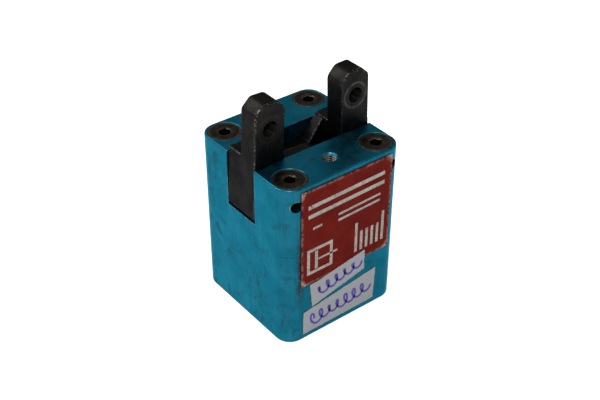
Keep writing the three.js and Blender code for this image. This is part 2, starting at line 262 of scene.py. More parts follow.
def combine(piece, others, operation):
    """Joins others to piece or cuts them from it, and removes them."""
    for other in others:
        step = piece.modifiers.new("combine", "BOOLEAN")
        step.operation = operation
        step.solver = "MANIFOLD"
        step.object = other
    bpy.context.view_layer.update()
    bake(piece)
    for other in others:
        mesh = other.data
        bpy.data.objects.remove(other)
        bpy.data.meshes.remove(mesh)
    return piece


def cut(piece, others):
    return combine(piece, others, "DIFFERENCE")


def join(piece, others):
    return combine(piece, others, "UNION")


def threaded_cutter(mouth, into, depth, chamfer):
    """A cutter for a tapped hole with a chamfered mouth. into points down the hole."""
    crest = THREAD_RADIUS - THREAD_DEPTH
    rows = int(depth / THREAD_PITCH * ROWS_PER_TURN)
    bm = bmesh.new()
    loops = []
    for row in range(rows + 1):
        loop = []
        for k in range(THREAD_SIDES):
            turn = k / THREAD_SIDES
            phase = (row / ROWS_PER_TURN - turn) % 1
            wave = abs(2 * phase - 1)
            r = crest + (THREAD_RADIUS - crest) * min(1, max(0, 1.3 * wave - 0.15))
            fade = max(0, 1 - (rows - row) / ROWS_PER_TURN) if row > rows - ROWS_PER_TURN else 0
            r = r * (1 - fade) + crest * fade
            a = 2 * math.pi * turn
            height = row / ROWS_PER_TURN * THREAD_PITCH
            loop.append(bm.verts.new((r * math.cos(a), r * math.sin(a), height)))
        loops.append(loop)
    for low, high in zip(loops, loops[1:]):
        for k in range(THREAD_SIDES):
            n = (k + 1) % THREAD_SIDES
            bm.faces.new((low[k], low[n], high[n], high[k]))
    bm.faces.new(list(reversed(loops[0])))
    bm.faces.new(loops[-1])
    turn = Vector((0, 0, 1)).rotation_difference(Vector(into)).to_matrix().to_4x4()
    place = Matrix.Scale(MM, 4) @ Matrix.Translation(mouth) @ turn
    bm.transform(place @ Matrix.Translation((0, 0, -0.2)))
    thread = from_bmesh("thread cutter", bm)
    rim = THREAD_RADIUS + chamfer
    cone = lathe("cone cutter", [
        (0, -PAST), (rim + PAST, -PAST), (rim, 0), (crest - 0.05, rim - crest), (0, rim - crest),
    ], sides=THREAD_SIDES)
    cone.data.transform(Matrix.Scale(1 / MM, 4))
    cone.data.transform(place)
    return [thread, cone]


def drill_profile(low, high, radius):
    return [(0, low), (radius, low), (radius, high), (0, high)]


def drill(x, y, low, high, radius):
    return lathe("drill", drill_profile(low, high, radius), "Z", (x, y, 0), DRILL_SIDES)


def drill_y(x, z, low, high, radius):
    return lathe("drill", drill_profile(low, high, radius), "Y", (x, 0, z), DRILL_SIDES)


# ------------------------------------------------------------------------ the two blocks

def rounded_square(inset, steps=14):
    reach = HALF - inset
    radius = CORNER_RADIUS - inset
    return fillet([
        (-reach, -reach, radius), (reach, -reach, radius), (reach, reach, radius), (-reach, reach, radius),
    ], steps)


def block(name, low, high, low_bevel, high_bevel):
    """A square block with rounded corners and rounded rims at both ends."""
    steps = 4
    turns = [math.pi / 2 * k / steps for k in range(steps + 1)]
    levels = [
        (low + low_bevel * (1 - math.cos(a)), rounded_square(low_bevel * (1 - math.sin(a)))) for a in turns
    ]
    levels += [
        (high - high_bevel * (1 - math.cos(a)), rounded_square(high_bevel * (1 - math.sin(a))))
        for a in reversed(turns)
    ]
    return stacked(name, levels)


CORNERS = {
    "front_left": (-SCREW_AT, -SCREW_AT),
    "front_right": (SCREW_AT, -SCREW_AT),
    "back_left": (-SCREW_AT, SCREW_AT),
    "back_right": (SCREW_AT, SCREW_AT),
}
COUNTERSINK_RADIUS = 6.15
SCREW_CLEARANCE = 3.2
TOP_HOLE_Y = 16.3
PORT_HEIGHTS = (9.5, 30.8)
PLATE_LEFT = box_mm("name_plate")[0].x
DOWEL_X = 21.8
DOWEL_HOLE = 2.03
DOWEL_RADIUS = 1.98
DOWEL_HOLE_BOTTOM, DOWEL_HOLE_TOP = 33.8, 42.2
BORE_RADIUS, BORE_FLOOR = 16, 6
HEAD_SEAT_RADIUS, HEAD_SEAT = 18, 34
BUSH_HOLE = 7.05
SCREW_THREAD_RADIUS, SCREW_THREAD_BOTTOM = 3.02, 13
SLOT_RIM_BEVEL = 0.22


def jaw_housing():
    piece = block("upper_block", SPLIT + MATING_GAP, TOP, MATING_BEVEL, RIM_BEVEL)
    far = HALF + FAR
    below = HOUSING_LOW.z - PAST
    slot = fillet([
        (-far, SLOT_FLOOR, 0), (far, SLOT_FLOOR, 0), (far, TOP + FAR, 0), (-far, TOP + FAR, 0),
    ])
    cut(piece, [slab("slot", slot, -SLOT_HALF, SLOT_HALF)])
    bevel_edges(piece, SLOT_RIM_BEVEL, degrees=60, segments=2)
    cutters = [drill(0, 0, below, SLOT_FLOOR + PAST, BUSH_HOLE)]
    for side in (-1, 1):
        cutters.append(drill_y(side * PIVOT_X, PIVOT_Z, -far, far, PIVOT_RADIUS + PIVOT_PLAY))
        cutters.append(drill(side * DOWEL_X, 0, below, DOWEL_HOLE_TOP, DOWEL_HOLE))
        cutters += threaded_cutter((0, side * TOP_HOLE_Y, TOP), (0, 0, -1), 12, 0.3)
    for x, y in CORNERS.values():
        lip = 0.12
        cutters.append(lathe("countersink", [
            (0, below), (SCREW_CLEARANCE, below),
            (SCREW_CLEARANCE, TOP - COUNTERSINK_RADIUS + SCREW_CLEARANCE),
            (COUNTERSINK_RADIUS - lip, TOP - lip), (COUNTERSINK_RADIUS + lip, TOP + 0.02),
            (COUNTERSINK_RADIUS + lip, TOP + PAST), (0, TOP + PAST),
        ], at=(x, y, 0)))
    return cut(piece, cutters)


def cylinder_body():
    piece = block("lower_block", BODY_LOW.z, SPLIT - MATING_GAP, RIM_BEVEL, MATING_BEVEL)
    high = BODY_HIGH.z + PAST
    cutters = [lathe("bore", [
        (0, BORE_FLOOR), (BORE_RADIUS, BORE_FLOOR), (BORE_RADIUS, HEAD_SEAT), (HEAD_SEAT_RADIUS, HEAD_SEAT),
        (HEAD_SEAT_RADIUS, high), (0, high),
    ], sides=128)]
    for x, y in CORNERS.values():
        cutters.append(drill(x, y, SCREW_THREAD_BOTTOM, high, SCREW_THREAD_RADIUS))
        cutters += threaded_cutter((x, y, 0), (0, 0, 1), 10, 0.3)
    for side in (-1, 1):
        cutters.append(drill(side * DOWEL_X, 0, DOWEL_HOLE_BOTTOM, high, DOWEL_HOLE))
    for z in PORT_HEIGHTS:
        cutters += threaded_cutter((0, HALF, z), (0, -1, 0), 11, 0.35)
    return cut(piece, cutters)


# ------------------------------------------------------------------------------ the jaws

LEAN = {-1: math.radians(2.3), 1: math.radians(1.6)}
JAW_OUTER, JAW_INNER = -4.12, 7.88
JAW_BOTTOM, JAW_SHOULDER, JAW_TOP = -13.7, 8.8, 29.5
JAW_HALF = 7.35
JAW_CHAMFER = 3.3
FINGER_BACK = 0.6
FINGER_FOOT = 3.4
ARM_GAP = 2.9
ARM_LOW, ARM_TIP = -8.5, 25.0
UNDERCUT_X, UNDERCUT_Z = 4.48, 2.6
UNDERCUT_RISE = 3.4
JAW_BEVEL, FINGER_BEVEL = 0.3, 0.6
FINGER_HOLE = (1.88, 19.9)
LEVEL_ARM = [(ARM_TIP, 6.5, 6), (JAW_INNER, 6.5, 0.8)]
SLOPING_ARM = [(ARM_TIP, 0.6, 4), (13.9, 0.6, 1.5), (JAW_INNER, 8.1, 0.1)]


def lean_in(side):
    """The turn that leans the jaw of that side in from upright."""
    return Matrix.Rotation(-side * LEAN[side], 4, "Y")


def finger_hole(side):
    """The centre of a finger's hole, as x and z."""
    hole_x, hole_z = FINGER_HOLE
    centre = lean_in(side) @ Vector((-side * hole_x, 0, hole_z))
    return side * PIVOT_X + centre.x, PIVOT_Z + centre.z


def jaw(name, side, arm, arm_side):
    """side is -1 for the left jaw. arm_side is the half of the slot, -1 near or 1 far, with its arm."""
    def turned(points):
        return fillet([(-side * u, z, r) for u, z, r in points])

    whole = slab(name, turned([
        (JAW_OUTER, JAW_BOTTOM, 0.5), (UNDERCUT_X, JAW_BOTTOM, 0.5), (UNDERCUT_X, ARM_LOW, 1.5),
        (ARM_TIP, ARM_LOW, 3), *arm, (JAW_INNER, JAW_SHOULDER, 0), (JAW_OUTER, JAW_SHOULDER, 0),
    ]), -JAW_HALF, JAW_HALF)
    beyond, above = 12, 40
    inner = turned([
        (UNDERCUT_X, JAW_BOTTOM - FAR, 0), (UNDERCUT_X, UNDERCUT_Z - UNDERCUT_RISE, 0),
        (JAW_INNER, UNDERCUT_Z, 0),
        (JAW_INNER, above, 0), (beyond * 3, above, 0), (beyond * 3, JAW_BOTTOM - FAR, 0),
    ])
    if arm_side < 0:
        beside_arm = slab("cutter", inner, -ARM_GAP, beyond)
    else:
        beside_arm = slab("cutter", inner, -beyond, ARM_GAP)
    cut(whole, [beside_arm])
    bevel_edges(whole, JAW_BEVEL, degrees=40, segments=3)
    finger = slab("finger", turned([
        (JAW_OUTER, FINGER_FOOT, 0), (JAW_INNER, FINGER_FOOT, 0),
        (JAW_INNER, JAW_TOP - JAW_CHAMFER, 3.2), (JAW_INNER - JAW_CHAMFER, JAW_TOP, 2.8),
        (JAW_OUTER + JAW_CHAMFER, JAW_TOP, 2.0), (JAW_OUTER, JAW_TOP - JAW_CHAMFER, 2.0),
    ]), -JAW_HALF, FINGER_BACK)
    bevel_edges(finger, FINGER_BEVEL, degrees=40, segments=4)
    join(whole, [finger])

    reach = math.hypot(PIVOT_X, DRIVE_Z - PIVOT_Z) + SLOT_PLAY
    near = PIVOT_X - SLOT_PLAY
    angle = math.atan2(DRIVE_Z - PIVOT_Z, PIVOT_X) + LEAN[side]
    radius = DRIVE_RADIUS + SLOT_PLAY
    rounding = radius * 0.99
    pin_slot = fillet([
        (near - radius, -radius, rounding), (reach + radius, -radius, rounding),
        (reach + radius, radius, rounding), (near - radius, radius, rounding),
    ], 16)
    spin = Matrix.Rotation(angle, 2)
    pin_slot = [spin @ p for p in pin_slot]
    slot = slab("cutter", [Vector((-side * p.x, p.y)) for p in pin_slot], -beyond, beyond)
    hole_x, hole_z = FINGER_HOLE
    cutters = [slot, drill_y(0, 0, -beyond, beyond, PIVOT_RADIUS + PIVOT_PLAY)]
    cutters += threaded_cutter((-side * hole_x, -JAW_HALF, hole_z), (0, 1, 0), 9, 0.35)
    cut(whole, cutters)
    whole.data.transform(Matrix.Translation(Vector((side * PIVOT_X, 0, PIVOT_Z)) * MM) @ lean_in(side))
    return whole


def jaw_left():
    return jaw("left_finger_jaw", -1, LEVEL_ARM, -1)


def jaw_right():
    return jaw("right_finger_jaw", 1, SLOPING_ARM, 1)


# ------------------------------------------------------------- screws, pins and cylinder

def hexagon(width, low, high, at):
    radius = width / 2 / math.cos(math.pi / 6)
    return lathe("hexagon", [(0, low), (radius, low), (radius, high), (0, high)], at=at, sides=6)


def cap_screw(name, x, y):
    head_top = TOP - SCREW_SUNK
    rim = 0.35
    profile = solid_profile([
        (SCREW_SHANK, SCREW_TIP, 0.6), (SCREW_SHANK, head_top - SCREW_HEAD + SCREW_SHANK, 0.3),
        (SCREW_HEAD, head_top - rim, 0.1), (SCREW_HEAD - 0.12, head_top, 0.12),
    ])
    screw = lathe(name, profile, at=(x, y, 0))
    mouth = lathe("socket mouth", [
        (0, head_top - rim), (2.0, head_top - rim), (2.75, head_top + 0.2), (0, head_top + 0.2),
    ], at=(x, y, 0), sides=64)
    return cut(screw, [hexagon(SOCKET_WIDTH, head_top - SOCKET_DEPTH, head_top + PAST, (x, y, 0)), mouth])


def pivot_pin(name, side):
    length = PIVOT_HALF_LENGTH
    profile = solid_profile([(PIVOT_RADIUS, -length, 0.3), (PIVOT_RADIUS, length, 0.3)])
    return lathe(name, profile, "Y", (side * PIVOT_X, 0, PIVOT_Z), 64)


def dowel(name, side):
    low, high = box_mm("dowel_left")
    profile = solid_profile([(DOWEL_RADIUS, low.z, 0.4), (DOWEL_RADIUS, high.z, 0.4)])
    return lathe(name, profile, at=(side * DOWEL_X, 0, 0), sides=48)


def cylinder_head():
    return lathe("rod_flange", [(p.x, p.y) for p in fillet([
        (7, 34.05, 0.1), (17.95, 34.05, 0.2), (17.95, 35.2, 0.05), (16.35, 35.2, 0.1), (16.35, 36.8, 0.1),
        (17.95, 36.8, 0.05), (17.95, 37.95, 0.3), (5.06, 37.95, 0.2), (5.06, 36.4, 0.05), (7, 36.4, 0.1),
    ])])


def head_ring():
    wire, radius, height = 0.72, 17.15, 36
    turns = [2 * math.pi * k / 16 for k in range(16)]
    profile = [(radius + wire * math.cos(a), height + wire * math.sin(a)) for a in turns]
    return lathe("flange_seal", profile)


def piston():
    return lathe("piston_disc", [(p.x, p.y) for p in fillet([
        (4.4, 7.2, 0.2), (8, 7.2, 0.4), (8, 10, 0.6), (15.95, 10, 0.5), (15.95, 13.5, 0.15),
        (12.9, 13.5, 0.3), (12.9, 16.5, 0.3), (15.95, 16.5, 0.15), (15.95, 20, 0.5), (10, 20, 0.6),
        (10, 24, 0.4), (5.05, 24, 0.2), (5.05, 17, 0.1), (2.6, 17, 0.1), (2.6, 12.7, 0.1), (4.4, 12.7, 0.1),
    ])])


def piston_seal():
    return lathe("lip_seal", [(p.x, p.y) for p in fillet([
        (13, 13.6, 0.2), (15.3, 13.6, 0.2), (15.97, 14.3, 0.2), (15.6, 15, 0.2), (15.97, 15.7, 0.2),
        (15.3, 16.4, 0.2), (13, 16.4, 0.2),
    ])])


def piston_rod():
    low, high = box_mm("piston_rod")
    return lathe("chromed_rod", [(p.x, p.y) for p in fillet([
        (2.55, low.z, 0.1), (ROD_RADIUS, low.z, 0.3), (ROD_RADIUS, high.z, 0.6), (3.05, high.z, 0.1),
        (3.05, 38, 0.1), (2.55, 38, 0.1),
    ])])


def piston_screw():
    screw = lathe("rod_screw", solid_profile([
        (4.25, 7.6, 0.4), (4.25, 12.6, 0.2), (2.5, 12.6, 0.1), (2.5, 27, 0.4),
    ]), sides=64)
    return cut(screw, [hexagon(SOCKET_WIDTH, 0, 10.1, (0, 0, 0))])


def ring(name, inner, outer, low, high, radius):
    return lathe(name, ring_profile(inner, outer, low, high, radius))


def crosshead():
    half, bottom = 5, 45.9
    arch = [Vector((-half, bottom)), Vector((half, bottom))]
    turns = [math.pi * k / 32 for k in range(33)]
    arch += [Vector((half * math.cos(a), DRIVE_Z + half * math.sin(a))) for a in turns]
    head = slab("crosshead_fork", arch, -2.6, 2.6)
    bevel_edges(head, 0.3, degrees=50)
    stem = lathe("stem", solid_profile([(3, 38.5, 0.5), (3, 46.5, 0.05)]), sides=64)
    room = [Vector((-4, 30)), Vector((4, 30)), Vector((4, 48)), Vector((-4, 48))]
    stem_room = slab("room", room, -2.55, 2.55)
    combine(stem, [stem_room], "INTERSECT")
    join(head, [stem])
    return cut(head, [drill_y(0, DRIVE_Z, -10, 10, DRIVE_RADIUS + CROSSHEAD_PLAY)])


def drive_pin():
    half = DRIVE_HIGH.y
    profile = solid_profile([(DRIVE_RADIUS, -half, 0.4), (DRIVE_RADIUS, half, 0.4)])
    return lathe("cross_pin", profile, "Y", (0, 0, DRIVE_Z), 64)


# -------------------------------------------------------------- name plate and paper strips

PLATE_LOW, PLATE_HIGH = box_mm("name_plate")
FACE_Y = -HALF
PLATE_BACK = PLATE_HIGH.y
PLATE_FRONT = PLATE_LOW.y
UPPER_STRIP = [(-15, 23.5), (-13.9, 13.3), (9.7, 18.6), (8.9, 27.6)]
LOWER_STRIP = [(-17.7, 12.1), (-17.9, 2.3), (14.4, 2.6), (15, 16.6)]


def sheet(name, point, back, thickness, across, down):
    """A thin sheet over a grid. point(s, t) gives x and z, back(x, z) the y of its rear side."""
    bm = bmesh.new()
    sides = []
    for offset in (0, -thickness):
        rows = []
        for j in range(down + 1):
            row = []
            for i in range(across + 1):
                x, z = point(i / across, j / down)
                row.append(bm.verts.new((x, back(x, z) + offset, z)))
            rows.append(row)
        sides.append(rows)
    for rows in sides:
        for j in range(down):
            for i in range(across):
                bm.faces.new((rows[j][i], rows[j][i + 1], rows[j + 1][i + 1], rows[j + 1][i]))
    rim = [(0, i) for i in range(across)] + [(j, across) for j in range(down)]
    rim += [(down, i) for i in range(across, 0, -1)] + [(j, 0) for j in range(down, 0, -1)]
    for k, (j, i) in enumerate(rim):
        nj, ni = rim[(k + 1) % len(rim)]
        bm.faces.new((sides[0][j][i], sides[0][nj][ni], sides[1][nj][ni], sides[1][j][i]))
    bm.transform(Matrix.Scale(MM, 4))
    return from_bmesh(name, bm)


def round_corner(value_x, value_z, half_x, half_z, radius):
    """Pulls a point of a rectangle's corner square onto the corner's arc."""
    over_x = abs(value_x) - (half_x - radius)
    over_z = abs(value_z) - (half_z - radius)
    if over_x <= 0 or over_z <= 0:
        return value_x, value_z
    longest = max(over_x, over_z)
    shrink = longest / math.hypot(over_x, over_z)
    return (
        math.copysign(half_x - radius + over_x * shrink, value_x),
        math.copysign(half_z - radius + over_z * shrink, value_z),
    )


def name_plate():
    centre_x = (PLATE_LOW.x + PLATE_HIGH.x) / 2
    centre_z = (PLATE_LOW.z + PLATE_HIGH.z) / 2
    half_x = (PLATE_HIGH.x - PLATE_LOW.x) / 2
    half_z = (PLATE_HIGH.z - PLATE_LOW.z) / 2

    def point(s, t):
        x, z = round_corner((2 * s - 1) * half_x, (2 * t - 1) * half_z, half_x, half_z, 0.7)
        return centre_x + x, centre_z + z

    def back(x, z):
        wave = math.sin(x * 0.31 + 1) * math.sin(z * 0.27) + 0.5 * math.sin(x * 0.7 - z * 0.5)
        return PLATE_BACK - 0.03 - 0.03 * wave

    return smooth(sheet("red_plate", point, back, 0.34, 80, 80), 50)


def strip_back(x, z):
    """Where a paper strip lies: on the body, or over the edge of the plate."""
    step = max(0, min(1, (z - PLATE_LOW.z + 1.4) / 1.4))
    step = step * step * (3 - 2 * step)
    on_body = FACE_Y - 0.03
    on_plate = PLATE_FRONT - 0.04
    return on_body + (on_plate - on_body) * step


def paper_strip(name, corners, seed):
    """Torn adhesive paper: corners run from the top left, down and round."""
    rng = random.Random(seed)
    ragged = [[rng.uniform(-0.13, 0.13) for _ in range(80)] for _ in range(4)]
    top_left, bottom_left, bottom_right, top_right = [Vector(c) for c in corners]

    def edge_noise(row, along):
        spot = along * 60
        k = int(spot)
        return row[k] + (row[k + 1] - row[k]) * (spot - k)

    def point(s, t):
        low = bottom_left.lerp(bottom_right, s)
        high = top_left.lerp(top_right, s)
        p = low.lerp(high, t)
        near_low, near_high = max(0, 1 - 12 * t), max(0, 12 * t - 11)
        near_left, near_right = max(0, 1 - 12 * s), max(0, 12 * s - 11)
        p.y += edge_noise(ragged[0], s) * near_low + edge_noise(ragged[1], s) * near_high
        p.x += edge_noise(ragged[2], t) * near_left + edge_noise(ragged[3], t) * near_right
        return p.x, p.y

    def back(x, z):
        lift = 0.03 * math.sin(x * 0.9 + seed) * math.sin(z * 0.6)
        return strip_back(x, z) - 0.03 + lift

    return smooth(sheet(name, point, back, 0.1, 110, 44), 50)


def ribbon(bm, path, width, back):
    """A pen or print stroke: a flat band along a path of (x, z) points, on the surface back(x, z)."""
    edges = []
    for k, p in enumerate(path):
        ahead = path[min(k + 1, len(path) - 1)]
        behind = path[max(k - 1, 0)]
        along = (ahead - behind).normalized()
        across = Vector((-along.y, along.x)) * width / 2
        edges.append((p + across, p - across))
    layers = []
    for offset in (0.02, -0.02):
        layers.append([[bm.verts.new((q.x, back(q.x, q.y) + offset, q.y)) for q in pair] for pair in edges])
    under, over = layers
    for k in range(len(edges) - 1):
        for layer in layers:
            bm.faces.new((layer[k][0], layer[k + 1][0], layer[k + 1][1], layer[k][1]))
        for side in (0, 1):
            bm.faces.new((under[k][side], under[k + 1][side], over[k + 1][side], over[k][side]))
    for k in (0, -1):
        bm.faces.new((under[k][0], under[k][1], over[k][1], over[k][0]))


PEN_WIDTH = 0.9
STEPS_PER_LOOP = 22


def pen_marks(name, start, end, height, loops, seed):
    """A plain looping scribble from start to end."""
    rng = random.Random(seed)
    start, end = Vector(start), Vector(end)
    along = (end - start).normalized()
    up = Vector((-along.y, along.x))
    steps = loops * STEPS_PER_LOOP
    path = []
    size = [rng.uniform(0.65, 1.0) for _ in range(loops + 2)]
    for k in range(steps + 1):
        turn = k / STEPS_PER_LOOP
        a = 2 * math.pi * turn
        grow = size[int(turn)] + (size[int(turn) + 1] - size[int(turn)]) * (turn % 1)
        travel = start.lerp(end, k / steps)
        sideways = along * (math.cos(a) * height * 0.3 * grow)
        upright = up * (math.sin(a) * height / 2 * grow)
        path.append(travel + sideways + upright)
    bm = bmesh.new()
    ribbon(bm, path, PEN_WIDTH, lambda x, z: strip_back(x, z) - 0.15)
    bm.transform(Matrix.Scale(MM, 4))
    return from_bmesh(name, bm)


def plate_print():
    """Plain ruled marks: two rules, short bars, a cylinder symbol and a row of graduations."""
    def line(x0, z0, x1, z1, width):
        strokes.append(([Vector((x0, z0)).lerp(Vector((x1, z1)), k / 12) for k in range(13)], width))

    def frame_of(x0, z0, x1, z1, width):
        half = width / 2
        line(x0 - half, z0, x1 + half, z0, width)
        line(x0 - half, z1, x1 + half, z1, width)
        line(x0, z0 + half, x0, z1 - half, width)
        line(x1, z0 + half, x1, z1 - half, width)

    strokes = []
    line(-16.2, 56.3, 16.6, 57, 1.5)
    line(-16.2, 52.6, 16.6, 53.3, 1.5)
    line(-14.2, 47.3, -10.4, 47.4, 0.9)
    line(-3.4, 48.4, 15, 48.9, 0.9)
    line(-3.4, 46, 15, 46.5, 0.9)
    frame_of(-16, 29, -6.2, 38.4, 1.2)
    line(-12.6, 30, -12.6, 37.4, 1.2)
    line(-12, 33.7, -3.4, 33.7, 0.8)
    for k in range(6):
        tall = 12.4 if k % 5 == 0 else 8.2
        line(4.8 + 2.4 * k, 28.6, 4.8 + 2.4 * k, 28.6 + tall, 1.15)
    bm = bmesh.new()
    for path, width in strokes:
        ribbon(bm, path, width, lambda x, z: PLATE_FRONT - 0.02)
    bm.transform(Matrix.Scale(MM, 4))
    return from_bmesh("plate_marks", bm)


# ------------------------------------------------------------------------------ materials

class Finish:
    """A node material: short calls that add nodes and return their output sockets."""

    def __init__(self, name, roughness=0.5, metallic=0.0, specular=0.5, edge_tint=(1, 1, 1)):
        self.material = bpy.data.materials.new(name)
        self.material.use_nodes = True
        self.nodes = self.material.node_tree.nodes
        self.links = self.material.node_tree.links
        self.shader = self.nodes["Principled BSDF"]
        self.shader.inputs["Roughness"].default_value = roughness
        self.shader.inputs["Metallic"].default_value = metallic
        self.shader.inputs["Specular IOR Level"].default_value = specular
        self.shader.inputs["Specular Tint"].default_value = (*edge_tint, 1)
        self.place = self.add("ShaderNodeTexCoord").outputs["Object"]

    def add(self, kind, **settings):
        node = self.nodes.new(kind)
        for key, value in settings.items():
            setattr(node, key, value)
        return node

    def feed(self, socket, value):
        if isinstance(value, bpy.types.NodeSocket):
            self.links.new(value, socket)
        else:
            socket.default_value = value

    def stretched(self, x, y, z):
        node = self.add("ShaderNodeMapping")
        self.feed(node.inputs["Vector"], self.place)
        node.inputs["Scale"].default_value = (x, y, z)
        return node.outputs["Vector"]

    def noise(self, size_mm, detail=4, rough=0.55, at=None, distortion=0.0):
        """Noise from 0 to 1 with features about size_mm across."""
        node = self.add("ShaderNodeTexNoise")
        self.feed(node.inputs["Vector"], at or self.place)
        node.inputs["Scale"].default_value = 1 / (size_mm * MM)
        node.inputs["Detail"].default_value = detail
        node.inputs["Roughness"].default_value = rough
        node.inputs["Distortion"].default_value = distortion
        return node.outputs["Fac"]

    def ramp(self, value, low, high, from_value=0.0, to_value=1.0):
        node = self.add("ShaderNodeMapRange", interpolation_type="SMOOTHSTEP")
        self.feed(node.inputs["Value"], value)
        node.inputs["From Min"].default_value = low
        node.inputs["From Max"].default_value = high
        node.inputs["To Min"].default_value = from_value
        node.inputs["To Max"].default_value = to_value
        return node.outputs["Result"]

    def math(self, operation, a, b=0.0):
        node = self.add("ShaderNodeMath", operation=operation)
        self.feed(node.inputs[0], a)
        self.feed(node.inputs[1], b)
        return node.outputs["Value"]

    def mix(self, amount, a, b):
        node = self.add("ShaderNodeMix", data_type="RGBA")
        self.feed(node.inputs["Factor"], amount)
        self.feed(node.inputs["A"], a if isinstance(a, bpy.types.NodeSocket) else (*a, 1))
        self.feed(node.inputs["B"], b if isinstance(b, bpy.types.NodeSocket) else (*b, 1))
        return node.outputs["Result"]

    def edges(self, radius_mm, low, high):
        """1 on convex and concave edges, 0 on flat ground."""
        rounded = self.add("ShaderNodeBevel", samples=6)
        rounded.inputs["Radius"].default_value = radius_mm * MM
        true = self.add("ShaderNodeNewGeometry")
        dot = self.add("ShaderNodeVectorMath", operation="DOT_PRODUCT")
        self.feed(dot.inputs[0], rounded.outputs["Normal"])
        self.feed(dot.inputs[1], true.outputs["Normal"])
        return self.ramp(dot.outputs["Value"], high, low)

    def axis(self, name):
        node = self.add("ShaderNodeSeparateXYZ")
        self.feed(node.inputs["Vector"], self.place)
        return node.outputs[name]

    def from_line(self, axes, a_mm, b_mm):
        """The distance, in metres, from a line along the third axis through a_mm and b_mm."""
        da = self.math("SUBTRACT", self.axis(axes[0]), a_mm * MM)
        db = self.math("SUBTRACT", self.axis(axes[1]), b_mm * MM)
        squares = self.math("ADD", self.math("MULTIPLY", da, da), self.math("MULTIPLY", db, db))
        return self.math("SQRT", squares)

    def bump(self, height, depth_mm):
        node = self.add("ShaderNodeBump")
        self.feed(node.inputs["Height"], height)
        node.inputs["Distance"].default_value = depth_mm * MM
        node.inputs["Strength"].default_value = 1
        self.feed(self.shader.inputs["Normal"], node.outputs["Normal"])

    def colour(self, value):
        self.feed(self.shader.inputs["Base Color"], value)

    def roughness(self, value):
        self.feed(self.shader.inputs["Roughness"], value)


def teal_anodised():
    f = Finish("teal_anodised", metallic=1.0, edge_tint=(0.5, 0.8, 0.92))
    clean = (0.005, 0.088, 0.132)
    pale = (0.009, 0.112, 0.166)
    grime = (0.014, 0.036, 0.042)
    cloudy = f.mix(f.ramp(f.noise(9, 3), 0.35, 0.7), clean, pale)
    streaks = f.noise(1.6, 5, 0.6, at=f.stretched(1, 1, 0.25))
    patches = f.ramp(f.noise(5.5, 7, 0.7, distortion=0.4), 0.50, 0.66)
    smudge = f.math("MULTIPLY", patches, f.ramp(streaks, 0.35, 0.6))
    drawn = f.ramp(f.noise(0.9, 4, 0.6, at=f.stretched(1, 1, 0.06)), 0.35, 0.65, 0.0, 0.22)
    cloudy = f.mix(drawn, cloudy, (0.005, 0.05, 0.075))
    stained = f.mix(f.math("MULTIPLY", smudge, 0.55), cloudy, grime)
    specks = f.ramp(f.noise(0.7, 2, 0.5), 0.68, 0.74)
    speckled = f.mix(f.math("MULTIPLY", specks, 0.4), stained, grime)
    off_split = f.math("ABSOLUTE", f.math("SUBTRACT", f.axis("Z"), SPLIT * MM))
    rubbed = f.math("MULTIPLY", f.edges(0.5, 0.93, 0.995), f.ramp(f.noise(2.2, 4), 0.45, 0.62))
    worn = f.math("MULTIPLY", rubbed, f.ramp(off_split, 0.5 * MM, 1.0 * MM))
    shown = f.mix(f.math("MULTIPLY", worn, 0.6), speckled, (0.22, 0.28, 0.29))
    near_split = f.ramp(off_split, 0.2 * MM, 0.05 * MM)
    seam = f.math("MULTIPLY", near_split, f.ramp(f.noise(11, 2), 0.4, 0.6, 0.0, 0.5))
    shown = f.mix(seam, shown, (0.002, 0.012, 0.016))
    on_top = f.ramp(f.axis("Z"), (TOP - 0.3) * MM, TOP * MM)
    smeared = f.math("MULTIPLY", on_top, f.ramp(f.noise(4, 6, 0.7), 0.54, 0.66))
    shown = f.mix(f.math("MULTIPLY", smeared, 0.5), shown, (0.05, 0.045, 0.035))
    # Darker in mottled patches on the front face, low down beside the left edge of the plate.
    from_plate = f.math("ABSOLUTE", f.math("SUBTRACT", f.axis("X"), PLATE_LEFT * MM))
    left_of_plate = f.ramp(from_plate, 2.6 * MM, 0.4 * MM)
    low_down = f.math(
        "MULTIPLY", f.ramp(f.axis("Z"), 52 * MM, 36 * MM), f.ramp(f.axis("Z"), 13 * MM, 24 * MM),
    )
    on_front = f.ramp(f.axis("Y"), -22 * MM, -24.5 * MM)
    beside = f.math("MULTIPLY", f.math("MULTIPLY", left_of_plate, on_front), low_down)
    dark_mottle = f.math("MULTIPLY", beside, f.ramp(f.noise(1.6, 6, 0.7), 0.36, 0.56))
    shown = f.mix(f.math("MULTIPLY", dark_mottle, 0.95), shown, (0.018, 0.020, 0.019))
    holes = [("XY", side * TOP_HOLE_Y) for side in (-1, 1)] + [("XZ", z) for z in PORT_HEIGHTS]
    for axes, place in holes:
        thread = THREAD_RADIUS * MM
        near_axis = f.ramp(f.from_line(axes, 0, place), thread + 0.1 * MM, thread + 0.02 * MM)
        if axes == "XZ":
            behind = f.ramp(f.axis("Y"), 15 * MM, 16 * MM)
            deep = f.math("MULTIPLY", behind, f.ramp(f.axis("Y"), (HALF - 0.55) * MM, (HALF - 0.65) * MM))
        else:
            deep = f.ramp(f.axis("Z"), (TOP - 0.55) * MM, (TOP - 0.65) * MM)
        shown = f.mix(f.math("MULTIPLY", near_axis, deep), shown, (0.12, 0.115, 0.11))
    f.colour(shown)
    matt = f.math("ADD", f.ramp(f.noise(3, 5), 0.3, 0.7, 0.34, 0.44), f.math("MULTIPLY", smudge, 0.15))
    polished = f.edges(1.1, 0.90, 0.99)
    f.roughness(f.math("SUBTRACT", matt, f.math("MULTIPLY", polished, 0.14)))
    f.bump(f.noise(0.35, 3, at=f.stretched(1, 1, 0.4)), 0.012)
    return f.material


# The radius of the ring that a screw head wore into a finger, and of the mouth of the hole in it, inside
# which shade is painted.
SCREW_HEAD_RING = 4.6
FINGER_MOUTH = 2.85


